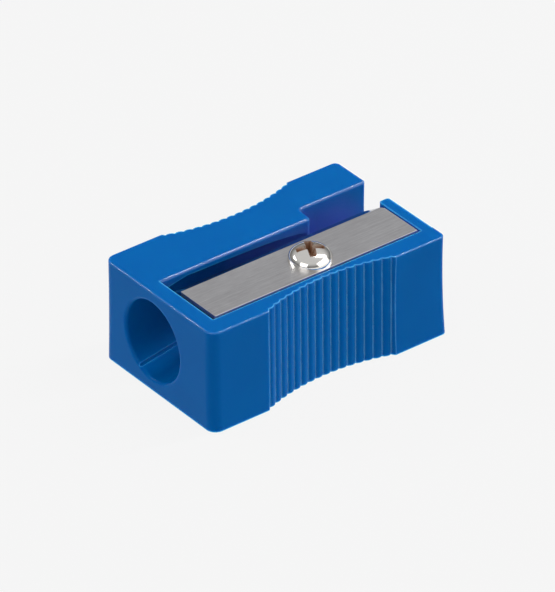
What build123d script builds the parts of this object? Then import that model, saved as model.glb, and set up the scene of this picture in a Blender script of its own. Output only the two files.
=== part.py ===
from build123d import *
import os
from math import cos, radians, sin, tan

os.makedirs("parts", exist_ok=True)

# One-hole block pencil sharpener. +X runs the way the pencil is pushed in,
# the long side beside the blade is -Y, and the block stands on z = 0.

# Block
front_x = -13.76
back_x = 13.73
width_top = 16.5
height = 10.9
wall_lean = 0.16
back_lean = 0.26
waist_share = 0.42
waist_keep = 0.15
front_corner_r = 1.05
back_corner_r = 0.60
top_edge_r = 0.14

# Ribbed finger grips on both long sides
grip_start = -7.4
grip_end = 8.0
grip_depth = 1.40
rib_count = 17
rib_height = 0.17
rib_sink = 0.03
rib_lift = 0.06
rib_end_share = 0.27

# Pencil hole: a straight guide, then the cone the blade works in
mouth_y = 0.92
mouth_z = 5.36
bore_r = 4.07
guide_length = 5.71
cone_half_angle = 11.1
bore_yaw = -1.4
mouth_edge_r = 0.35
groove_turn = 29.0
groove_r = 0.24
groove_depth = 0.12

# Blade
blade_front = -11.65
blade_back = 12.11
blade_outer = -6.05
blade_shoulder = -0.80
blade_edge = 0.30
blade_thickness = 0.60
blade_land = 0.03
blade_proud = 0.10
blade_hole_r = 1.50
blade_cut_x = 1.30
blade_cut_y = 1.45

# Seat the blade lies in
seat_front = -12.05
seat_back = 12.45
seat_outer = -6.20
seat_inner = -1.45

# Chip window beside the cutting edge, wider and deeper at the back
window_side = 1.84
window_floor = 8.50
window_edge_r = 0.30
step_x = 5.75
step_side = 3.75
step_floor = 6.20
step_outer_r = 0.55
step_inner_r = 0.45
slot_side = 0.19
rim_end_r = 0.28
rim_back = 13.60
rim_outer = -6.35

# Screw
screw_x = 1.15
screw_y = -3.80
head_r = 2.125
head_height = 1.45
head_rim = 0.16
core_r = 0.92
thread_r = 1.30
thread_pitch = 1.00
shank_length = 6.10
tip_length = 0.80
tip_r = 0.506
thread_start = 0.35
thread_foot = 0.50
thread_flank = 0.22
thread_bury = 0.10
hole_clear = 0.05
hole_depth = 6.60
recess_reach = 1.42
recess_width = 0.80
recess_depth = 1.20
recess_turn = -25.0
recess_taper = 12.0

# Cuts run on this far past the block, upwards and sideways
over = 6.0
beyond = 2.0

# How near a place an edge must be to be picked
pick_slack = 0.05

half_w = width_top / 2
seat_z = height + blade_proud - blade_thickness
blade_top = height + blade_proud
grip_x = (grip_start + grip_end) / 2
grip_r = (grip_end - grip_start) ** 2 / (8 * grip_depth) + grip_depth / 2
rib_step = (grip_end - grip_start) / rib_count


def lean_at(level):
    """How far the long walls stand out past their top edge at a height, taken straight."""
    return wall_lean * (height - level) / height


def grip_point(x, sunk, side, level):
    """Point in plan on a finger grip, sunk into the block by the given depth."""
    angle = (x - grip_x) / grip_r
    across = half_w + lean_at(level) - grip_depth + grip_r - (grip_r + sunk) * cos(angle)
    return (grip_x + (grip_r + sunk) * sin(angle), side * across)


def near(edge, x, y):
    """Whether an upright edge stands at a place in plan."""
    middle = edge.center()
    return abs(middle.X - x) < pick_slack and abs(middle.Y - y) < pick_slack


def on_window_lip(edge):
    """Whether an edge lies in the block's top along the far side of the window."""
    middle = edge.center()
    level = abs(middle.Z - height) < pick_slack and abs(edge.tangent_at(0.5).Z) < pick_slack
    beside = window_side - pick_slack < middle.Y < step_side + pick_slack
    return level and beside and front_x < middle.X < back_x


def on_mouth(edge):
    """Whether an edge is part of the rim of the pencil hole in the front face."""
    middle = edge.position_at(0.5)
    across = (middle.Y - mouth_y) ** 2 + (middle.Z - mouth_z) ** 2
    return middle.X < front_x + pick_slack and (bore_r - 0.3) ** 2 < across < (bore_r + 0.4) ** 2


# ---------------------------------------------------------------- housing
bore_axis = Vector(
    cos(radians(cone_half_angle)) * cos(radians(bore_yaw)),
    cos(radians(cone_half_angle)) * sin(radians(bore_yaw)),
    sin(radians(cone_half_angle)),
)
bore_side = Vector(-sin(radians(bore_yaw)), cos(radians(bore_yaw)), 0)
mouth = Vector(front_x, mouth_y, mouth_z)
bore_plane = Plane(origin=mouth, x_dir=bore_axis, z_dir=bore_side)
cone_length = bore_r / tan(radians(cone_half_angle))
groove_out = bore_r + groove_depth - groove_r

with BuildPart() as housing:
    # Block whose walls spread towards the underside
    for share, keep in ((0, 1), (waist_share, waist_keep), (1, 0)):
        side_lean = keep * wall_lean
        end_lean = keep * back_lean
        with BuildSketch(Plane.XY.offset(share * height)) as section:
            with BuildLine():
                Polyline(
                    (front_x, -half_w - side_lean),
                    (back_x + end_lean, -half_w - side_lean),
                    (back_x + end_lean, half_w + side_lean),
                    (front_x, half_w + side_lean),
                    close=True,
                )
            make_face()
            fillet(section.vertices().sort_by(Axis.X)[:2], radius=front_corner_r)
            fillet(section.vertices().sort_by(Axis.X)[-2:], radius=back_corner_r)
    loft()

    # Soft outer edge all round the top
    fillet(housing.faces().sort_by(Axis.Z)[-1].edges(), radius=top_edge_r)

    # Hollow finger grips with ribs, a gentle wave in plan
    for side in (1, -1):
        for level in (-1, height + 1):
            with BuildSketch(Plane.XY.offset(level)):
                with BuildLine():
                    valley = rib_sink + rib_height
                    first_out = grip_point(grip_start, -rib_lift, side, level)
                    last_out = grip_point(grip_end, -rib_lift, side, level)
                    ThreePointArc(
                        first_out,
                        grip_point(grip_start + rib_end_share * rib_step, rib_sink, side, level),
                        grip_point(grip_start + 0.5 * rib_step, valley, side, level),
                    )
                    for index in range(rib_count - 1):
                        x0 = grip_start + (index + 0.5) * rib_step
                        ThreePointArc(
                            grip_point(x0, valley, side, level),
                            grip_point(x0 + rib_step / 2, rib_sink, side, level),
                            grip_point(x0 + rib_step, valley, side, level),
                        )
                    ThreePointArc(
                        grip_point(grip_end - 0.5 * rib_step, valley, side, level),
                        grip_point(grip_end - rib_end_share * rib_step, rib_sink, side, level),
                        last_out,
                    )
                    out = side * (half_w + 2)
                    Polyline(last_out, (last_out[0], out), (first_out[0], out), first_out)
                make_face()
        loft(ruled=True, mode=Mode.SUBTRACT)

    # Seat for the blade
    with BuildSketch(Plane.XY.offset(seat_z)):
        with BuildLine():
            Polyline(
                (seat_front, seat_outer),
                (seat_back, seat_outer),
                (seat_back, window_side),
                (seat_front, window_side),
                close=True,
            )
        make_face()
    extrude(amount=over, mode=Mode.SUBTRACT)

    # Chip window down into the cone
    with BuildSketch(Plane.XY.offset(window_floor)):
        with BuildLine():
            Polyline(
                (seat_front, seat_inner),
                (seat_back, seat_inner),
                (seat_back, window_side),
                (seat_front, window_side),
                close=True,
            )
        make_face()
    extrude(amount=over, mode=Mode.SUBTRACT)

    # Deep part of the window, open through the back wall
    with BuildSketch(Plane.XY.offset(step_floor)):
        with BuildLine():
            Polyline(
                (step_x, slot_side),
                (back_x + beyond, slot_side),
                (back_x + beyond, step_side),
                (step_x, step_side),
                close=True,
            )
        make_face()
    extrude(amount=over, mode=Mode.SUBTRACT)

    # Pencil hole
    with BuildSketch(bore_plane):
        with BuildLine():
            Polyline(
                (-beyond, 0),
                (-beyond, bore_r),
                (guide_length, bore_r),
                (guide_length + cone_length, 0),
                close=True,
            )
        make_face()
    revolve(axis=Axis(mouth, bore_axis), mode=Mode.SUBTRACT)

    # Soft edge round the mouth of the pencil hole
    mouth_edges = [edge for edge in housing.edges() if on_mouth(edge)]
    fillet(mouth_edges, radius=mouth_edge_r)

    # Shallow moulding groove along the lower far side of the pencil hole
    groove_x = groove_out * sin(radians(groove_turn))
    groove_y = -groove_out * cos(radians(groove_turn))
    with BuildSketch(Plane(origin=mouth - bore_axis * beyond, x_dir=bore_side, z_dir=bore_axis)):
        with Locations((groove_x, groove_y)):
            Circle(groove_r)
    extrude(amount=guide_length + beyond, mode=Mode.SUBTRACT)

    # Screw hole
    with BuildSketch(Plane.XY.offset(seat_z)):
        with Locations((screw_x, screw_y)):
            Circle(thread_r + hole_clear)
    extrude(amount=-hole_depth, mode=Mode.SUBTRACT)

    # The back rim stands in a little from the back wall
    with BuildSketch(Plane.XY.offset(step_floor)):
        with BuildLine():
            Polyline(
                (rim_back, rim_outer),
                (back_x + beyond, rim_outer),
                (back_x + beyond, slot_side + 0.5),
                (rim_back, slot_side + 0.5),
                close=True,
            )
        make_face()
    extrude(amount=over, mode=Mode.SUBTRACT)

    # Rounded end of the back rim
    with BuildSketch(Plane.XY.offset(window_floor)):
        for x, sign in ((seat_back, 1), (rim_back, -1)):
            with Locations((x + sign * rim_end_r, slot_side - rim_end_r)):
                corner = (Align.MAX if sign > 0 else Align.MIN, Align.MIN)
                Rectangle(rim_end_r + 0.3, rim_end_r + 0.02, align=corner)
        for x, sign in ((seat_back, 1), (rim_back, -1)):
            with Locations((x + sign * rim_end_r, slot_side - rim_end_r)):
                Circle(rim_end_r, mode=Mode.SUBTRACT)
    extrude(amount=over, mode=Mode.SUBTRACT)

    # Rounded step of the window
    upright = housing.edges().filter_by(Axis.Z)
    fillet(upright.filter_by(lambda e: near(e, step_x, window_side)), radius=step_outer_r)
    upright = housing.edges().filter_by(Axis.Z)
    fillet(upright.filter_by(lambda e: near(e, step_x, step_side)), radius=step_inner_r)

    # Soft top edge along the window
    soft = [edge for edge in housing.edges() if on_window_lip(edge)]
    fillet(soft, radius=window_edge_r)

housing.part.label = "housing"
export_step(housing.part, "parts/housing.step")

# ---------------------------------------------------------------- blade
with BuildPart() as blade:
    with BuildSketch(Plane.YZ.offset(blade_front)):
        with BuildLine():
            Polyline(
                (blade_outer, seat_z),
                (blade_edge, seat_z),
                (blade_edge, seat_z + blade_land),
                (blade_shoulder, blade_top),
                (blade_outer, blade_top),
                close=True,
            )
        make_face()
    extrude(amount=blade_back - blade_front)

    # Hole for the screw
    with BuildSketch(Plane.XY.offset(blade_top)):
        with Locations((screw_x, screw_y)):
            Circle(blade_hole_r)
    extrude(amount=-blade_thickness, mode=Mode.SUBTRACT)

    # Far inner corner clipped off
    with BuildSketch(Plane.XY.offset(blade_top)):
        with BuildLine():
            Polyline(
                (blade_back - blade_cut_x, blade_edge),
                (blade_back, blade_edge - blade_cut_y),
                (blade_back + beyond, blade_edge - blade_cut_y),
                (blade_back + beyond, blade_edge + 1),
                (blade_back - blade_cut_x, blade_edge + 1),
                close=True,
            )
        make_face()
    extrude(amount=-blade_thickness, mode=Mode.SUBTRACT)

blade.part.label = "blade"
export_step(blade.part, "parts/blade.step")

# ---------------------------------------------------------------- screw
head_plane = Plane(origin=(screw_x, screw_y, blade_top), x_dir=(1, 0, 0), z_dir=(0, -1, 0))
screw_axis = Axis((screw_x, screw_y, 0), (0, 0, 1))
turn_count = int(round((shank_length - blade_thickness - tip_length) / thread_pitch))

with BuildPart() as screw:
    # Domed head and core
    with BuildSketch(head_plane):
        with BuildLine():
            Line((0, head_height), (0, -shank_length))
            Line((0, -shank_length), (tip_r, -shank_length))
            Line((tip_r, -shank_length), (core_r, -shank_length + tip_length))
            Line((core_r, -shank_length + tip_length), (core_r, 0))
            Line((core_r, 0), (head_r, 0))
            Line((head_r, 0), (head_r, head_rim))
            EllipticalCenterArc((0, head_rim), head_r, head_height - head_rim, start_angle=0, arc_size=90)
        make_face()
    revolve(axis=screw_axis)

    # Thread crests
    for turn in range(turn_count):
        level = -blade_thickness - thread_start - turn * thread_pitch
        with BuildSketch(head_plane):
            with BuildLine():
                Polyline(
                    (core_r - thread_bury, level),
                    (thread_r, level - thread_flank),
                    (thread_r, level - thread_foot + thread_flank),
                    (core_r - thread_bury, level - thread_foot),
                    close=True,
                )
            make_face()
        revolve(axis=screw_axis)

    # Cross recess, narrowing as it goes down
    with BuildSketch(Plane.XY.offset(blade_top + head_height)):
        with Locations(Location((screw_x, screw_y), recess_turn)):
            Rectangle(2 * recess_reach, recess_width)
            Rectangle(recess_width, 2 * recess_reach)
    extrude(amount=-recess_depth, taper=recess_taper, mode=Mode.SUBTRACT)

screw.part.label = "screw"
export_step(screw.part, "parts/screw.step")
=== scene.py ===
"""Looks for a one-hole block pencil sharpener: blue moulded block, steel blade, plated screw."""
import math

import bpy
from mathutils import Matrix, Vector


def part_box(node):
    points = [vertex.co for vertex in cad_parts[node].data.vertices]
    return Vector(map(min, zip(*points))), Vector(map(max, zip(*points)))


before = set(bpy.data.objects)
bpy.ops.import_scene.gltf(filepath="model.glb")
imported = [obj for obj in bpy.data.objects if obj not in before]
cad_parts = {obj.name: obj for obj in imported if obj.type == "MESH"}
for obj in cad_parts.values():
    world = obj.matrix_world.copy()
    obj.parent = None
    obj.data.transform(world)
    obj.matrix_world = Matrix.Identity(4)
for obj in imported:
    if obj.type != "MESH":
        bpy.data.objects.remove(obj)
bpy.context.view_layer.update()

MM = 0.001

# Where the blade's ground edge begins, and the width of the painted highlight line along its outer edge
GROUND_FROM = -0.80 * MM
HIGHLIGHT_LINE = 0.09 * MM

# Places on the pieces that the materials need
block_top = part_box("housing")[1].z
blade_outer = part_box("blade")[0].y

# Camera
VIEW_AZIMUTH = -37.9
VIEW_ELEVATION = 33.27
VIEW_DISTANCE = 0.62
VIEW_LENS = 403.4
SENSOR = 36.0
AIM_RIGHT = 0.20 * MM
AIM_UP = -0.07 * MM

# Finish, including painted highlight colours for edges and painted shade colours for hollows and the screw
# recess
PLASTIC_BLUE = (0.0, 0.092, 0.315, 1.0)
PLASTIC_EDGE_HIGHLIGHT = (0.03, 0.30, 0.64, 1.0)
PLASTIC_DEEP = (0.0, 0.086, 0.298, 1.0)
PLASTIC_SHADE = (0.060, 0.118, 0.47, 1.0)
PLASTIC_SHEEN = (0.65, 0.82, 1.0, 1.0)
STEEL = (0.63, 0.625, 0.63, 1.0)
STEEL_DARK = (0.41, 0.40, 0.41, 1.0)
STEEL_GROUND = (0.50, 0.51, 0.54, 1.0)
STEEL_HIGHLIGHT = (0.85, 0.85, 0.87, 1.0)
PLATING = (0.86, 0.83, 0.78, 1.0)
RECESS_SHADE_BROWN = (0.30, 0.16, 0.09, 1.0)
FLOOR_GAP = 0.03 * MM
FLOOR_WHITE = (0.888, 0.888, 0.888, 1.0)


# ---------------------------------------------------------------- node helpers
class Graph:
    """A material's node tree, with short calls for the nodes used here."""

    def __init__(self, name):
        self.material = bpy.data.materials.new(name)
        self.material.use_nodes = True
        self.tree = self.material.node_tree
        self.shader = self.tree.nodes["Principled BSDF"]
        self.place = self.add("ShaderNodeTexCoord").outputs["Object"]

    def add(self, kind, **settings):
        node = self.tree.nodes.new(kind)
        for key, value in settings.items():
            setattr(node, key, value)
        return node

    def join(self, source, target):
        self.tree.links.new(source, target)

    def feed(self, source, socket):
        self.join(source, self.shader.inputs[socket])

    def put(self, socket, value):
        self.shader.inputs[socket].default_value = value

    def scaled(self, scale, turn=(0, 0, 0)):
        """Object coordinates multiplied by a scale per axis."""
        node = self.add("ShaderNodeMapping")
        node.inputs["Scale"].default_value = scale
        node.inputs["Rotation"].default_value = turn
        self.join(self.place, node.inputs["Vector"])
        return node.outputs["Vector"]

    def noise(self, scale, detail=3.0, rough=0.5, vector=None):
        node = self.add("ShaderNodeTexNoise")
        node.inputs["Scale"].default_value = scale
        node.inputs["Detail"].default_value = detail
        node.inputs["Roughness"].default_value = rough
        self.join(vector or self.place, node.inputs["Vector"])
        return node.outputs["Fac"]

    def spread(self, source, low, high, to_low=0.0, to_high=1.0, smooth=False):
        """source mapped from low..high to to_low..to_high, and held there beyond."""
        node = self.add("ShaderNodeMapRange")
        if smooth:
            node.interpolation_type = "SMOOTHSTEP"
        for key, value in zip(("From Min", "From Max", "To Min", "To Max"), (low, high, to_low, to_high)):
            node.inputs[key].default_value = value
        self.join(source, node.inputs["Value"])
        return node.outputs["Result"]

    def blend(self, factor, first, second):
        """Colour mix; each of first and second is a colour or a socket."""
        node = self.add("ShaderNodeMix", data_type="RGBA")
        self.join(factor, node.inputs["Factor"])
        for value, key in ((first, 6), (second, 7)):
            if isinstance(value, tuple):
                node.inputs[key].default_value = value
            else:
                self.join(value, node.inputs[key])
        return node.outputs[2]

    def calc(self, operation, first, second=None):
        node = self.add("ShaderNodeMath", operation=operation)
        for value, index in ((first, 0), (second, 1)):
            if value is None:
                continue
            if isinstance(value, (int, float)):
                node.inputs[index].default_value = value
            else:
                self.join(value, node.inputs[index])
        return node.outputs[0]

    def axes(self):
        node = self.add("ShaderNodeSeparateXYZ")
        self.join(self.place, node.inputs[0])
        return node.outputs["X"], node.outputs["Y"], node.outputs["Z"]

    def bump(self, height, distance, strength=1.0, normal=None):
        node = self.add("ShaderNodeBump")
        node.inputs["Strength"].default_value = strength
        node.inputs["Distance"].default_value = distance
        self.join(height, node.inputs["Height"])
        if normal is not None:
            self.join(normal, node.inputs["Normal"])
        return node.outputs["Normal"]

    def corners(self, radius):
        """0 on broad faces, rising towards 1 on edges: how far a rounded normal leaves the true one."""
        rounded = self.add("ShaderNodeBevel", samples=8)
        rounded.inputs["Radius"].default_value = radius
        true = self.add("ShaderNodeNewGeometry")
        dot = self.add("ShaderNodeVectorMath", operation="DOT_PRODUCT")
        self.join(rounded.outputs[0], dot.inputs[0])
        self.join(true.outputs["True Normal"], dot.inputs[1])
        return self.calc("SUBTRACT", 1.0, dot.outputs["Value"])

    def top_rounds(self):
        """1 where a surface near the top turns over from a wall, 0 on flat tops and walls."""
        facing = self.add("ShaderNodeSeparateXYZ")
        normal = self.add("ShaderNodeTexCoord")
        self.join(normal.outputs["Normal"], facing.inputs[0])
        above_wall = self.spread(facing.outputs["Z"], 0.12, 0.35)
        below_top = self.spread(facing.outputs["Z"], 0.90, 0.985, 1.0, 0.0)
        near_top = self.spread(self.axes()[2], block_top - 0.6 * MM, block_top - 0.4 * MM)
        return self.calc("MULTIPLY", near_top, self.calc("MULTIPLY", above_wall, below_top))


def dress(node_name, material):
    """Gives a CAD node its one finished material."""
    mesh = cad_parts[node_name].data
    mesh.materials.clear()
    mesh.materials.append(material)


# ---------------------------------------------------------------- materials
def blue_plastic():
    g = Graph("blue_plastic")
    cloud = g.spread(g.noise(160, 2.0), 0.35, 0.7)
    body = g.blend(cloud, PLASTIC_BLUE, PLASTIC_DEEP)
    # Painted shade: ambient occlusion darkens the bore, window and other hollows towards the shade colour.
    hollow = g.add("ShaderNodeAmbientOcclusion", samples=8, only_local=True)
    hollow.inputs["Distance"].default_value = 6.0 * MM
    painted_shade = g.spread(hollow.outputs["AO"], 0.30, 0.74, 1.0, 0.0, smooth=True)
    body = g.blend(painted_shade, body, PLASTIC_SHADE)
    # Painted highlight: edges and corners are lightened towards the light edge colour, in noisy patches,
    # standing in for glinting and glowing edges.
    edges = g.spread(g.corners(0.30 * MM), 0.006, 0.09, 0.0, 0.9, smooth=True)
    highlight_patches = g.spread(g.noise(900, 4.0), 0.35, 0.75, 0.55, 1.0)
    g.feed(g.blend(g.calc("MULTIPLY", edges, highlight_patches), body, PLASTIC_EDGE_HIGHLIGHT), "Base Color")
    smear = g.spread(g.noise(420, 4.0, 0.6), 0.3, 0.75, 0.14, 0.24)
    g.feed(smear, "Roughness")
    skin = g.bump(g.noise(3400, 3.0), 0.002 * MM, 0.5)
    g.feed(g.bump(g.noise(350, 1.0), 0.006 * MM, 0.3, skin), "Normal")
    g.put("IOR", 1.11)
    g.feed(g.calc("MAXIMUM", edges, g.top_rounds()), "Coat Weight")
    g.put("Coat Roughness", 0.10)
    g.put("Specular Tint", PLASTIC_SHEEN)
    g.put("Subsurface Weight", 0.6)
    g.put("Subsurface Radius", (0.10, 0.6, 1.0))
    g.put("Subsurface Scale", 1.2 * MM)
    return g.material


def brushed_steel():
    g = Graph("brushed_steel")
    y = g.axes()[1]
    grain = g.noise(1.0, 5.0, 0.7, g.scaled((160, 7000, 7000)))
    fine = g.noise(1.0, 4.0, 0.6, g.scaled((900, 16000, 16000)))
    lines = g.calc("ADD", g.calc("MULTIPLY", grain, 0.6), g.calc("MULTIPLY", fine, 0.4))
    cloud = g.noise(300, 3.0)
    tone = g.spread(g.calc("ADD", g.calc("MULTIPLY", lines, 0.85), g.calc("MULTIPLY", cloud, 0.15)), 0.36, 0.64)
    ground = g.spread(y, GROUND_FROM - 0.02 * MM, GROUND_FROM + 0.02 * MM)
    # Painted highlight: the blade's edges and a thin line along its outer edge are lightened towards the bright
    # steel colour.
    edges = g.spread(g.corners(0.12 * MM), 0.05, 0.30, 0.0, 0.8, smooth=True)
    flat = g.blend(tone, STEEL_DARK, STEEL)
    line_in = blade_outer + HIGHLIGHT_LINE
    rim = g.spread(y, line_in, line_in + 0.05 * MM, 1.0, 0.0)
    bright = g.calc("MAXIMUM", edges, rim)
    g.feed(g.blend(bright, g.blend(ground, flat, STEEL_GROUND), STEEL_HIGHLIGHT), "Base Color")
    rough = g.spread(lines, 0.3, 0.7, 0.28, 0.40)
    mirror = g.calc("MULTIPLY", ground, 0.20)
    g.feed(g.calc("SUBTRACT", rough, mirror), "Roughness")
    g.feed(g.bump(lines, 0.004 * MM, 0.5), "Normal")
    g.put("Metallic", 1.0)
    return g.material


def bright_plating():
    g = Graph("bright_plating")
    # Painted shade: ambient occlusion turns the head's cross recess brown, and makes it rougher and less
    # metallic there.
    shade = g.add("ShaderNodeAmbientOcclusion", samples=8, only_local=True)
    shade.inputs["Distance"].default_value = 0.9 * MM
    recess_shade = g.spread(shade.outputs["AO"], 0.45, 0.85, 1.0, 0.0, smooth=True)
    g.feed(g.blend(recess_shade, PLATING, RECESS_SHADE_BROWN), "Base Color")
    polish = g.spread(g.noise(1200, 3.0), 0.3, 0.7, 0.08, 0.16)
    g.feed(g.calc("ADD", polish, g.calc("MULTIPLY", recess_shade, 0.5)), "Roughness")
    g.feed(g.calc("SUBTRACT", 1.0, g.calc("MULTIPLY", recess_shade, 0.75)), "Metallic")
    g.feed(g.bump(g.noise(1500, 2.0), 0.006 * MM, 0.4), "Normal")
    return g.material


def pale_floor():
    g = Graph("pale_floor")
    g.put("Base Color", (0.02, 0.02, 0.02, 1.0))
    g.put("Roughness", 0.9)
    g.put("Specular IOR Level", 0.0)
    g.put("Emission Color", FLOOR_WHITE)
    g.put("Emission Strength", 1.0)
    return g.material


dress("housing", blue_plastic())
dress("blade", brushed_steel())
dress("screw", bright_plating())


# ---------------------------------------------------------------- studio
def add_floor():
    size = 0.6
    mesh = bpy.data.meshes.new("floor")
    level = -FLOOR_GAP
    corners = [(-size, -size, level), (size, -size, level), (size, size, level), (-size, size, level)]
    mesh.from_pydata(corners, [], [(0, 1, 2, 3)])
    floor = bpy.data.objects.new("floor", mesh)
    bpy.context.scene.collection.objects.link(floor)
    mesh.materials.append(pale_floor())


def add_softbox(name, place, target, width, height, watts, tint=(1.0, 1.0, 1.0)):
    light = bpy.data.lights.new(name, "AREA")
    light.shape = "RECTANGLE"
    light.size = width
    light.size_y = height
    light.energy = watts
    light.color = tint
    lamp = bpy.data.objects.new(name, light)
    bpy.context.scene.collection.objects.link(lamp)
    lamp.location = place
    lamp.rotation_mode = "QUATERNION"
    lamp.rotation_quaternion = (Vector(target) - Vector(place)).to_track_quat("-Z", "Y")
    return lamp


def add_world():
    """A dim studio with a brighter ceiling, so the plated dome has something dark to mirror."""
    world = bpy.data.worlds.new("studio")
    world.use_nodes = True
    nodes, links = world.node_tree.nodes, world.node_tree.links
    sky = nodes["Background"]
    place = nodes.new("ShaderNodeTexCoord")
    split = nodes.new("ShaderNodeSeparateXYZ")
    ramp = nodes.new("ShaderNodeMapRange")
    ramp.interpolation_type = "SMOOTHSTEP"
    for key, value in (("From Min", 0.05), ("From Max", 0.75), ("To Min", 0.16), ("To Max", 0.62)):
        ramp.inputs[key].default_value = value
    links.new(place.outputs["Generated"], split.inputs[0])
    links.new(split.outputs["Z"], ramp.inputs["Value"])
    links.new(ramp.outputs["Result"], sky.inputs["Strength"])
    sky.inputs["Color"].default_value = (0.97, 0.98, 1.0, 1.0)
    bpy.context.scene.world = world


def add_camera():
    azimuth = math.radians(VIEW_AZIMUTH)
    elevation = math.radians(VIEW_ELEVATION)
    back = Vector((
        math.sin(azimuth) * math.cos(elevation),
        -math.cos(azimuth) * math.cos(elevation),
        math.sin(elevation),
    ))
    turn = (-back).to_track_quat("-Z", "Y").to_matrix()
    aim = Vector((0, 0, 5.5 * MM)) + turn @ Vector((AIM_RIGHT, AIM_UP, 0))
    data = bpy.data.cameras.new("camera")
    data.lens = VIEW_LENS
    data.sensor_width = SENSOR
    data.clip_start = 0.01
    data.clip_end = 10
    camera = bpy.data.objects.new("camera", data)
    bpy.context.scene.collection.objects.link(camera)
    camera.rotation_mode = "QUATERNION"
    camera.rotation_quaternion = turn.to_quaternion()
    camera.location = aim + back * VIEW_DISTANCE
    bpy.context.scene.camera = camera


add_floor()
add_world()
add_camera()
centre = (0, 0, 5 * MM)
add_softbox("edge_light", (0.20, -0.06, 0.30), centre, 0.016, 0.26, 1.0)
add_softbox("front_strip", (-0.20, 0.24, 0.19), centre, 0.12, 0.010, 0.35)
add_softbox("right_fill", (0.22, -0.32, 0.12), centre, 0.52, 0.44, 0.80)
add_softbox("left_fill", (-0.35, -0.12, 0.16), centre, 0.26, 0.26, 0.32)
bpy.context.scene.view_settings.view_transform = "Standard"
bpy.context.scene.view_settings.look = "None"
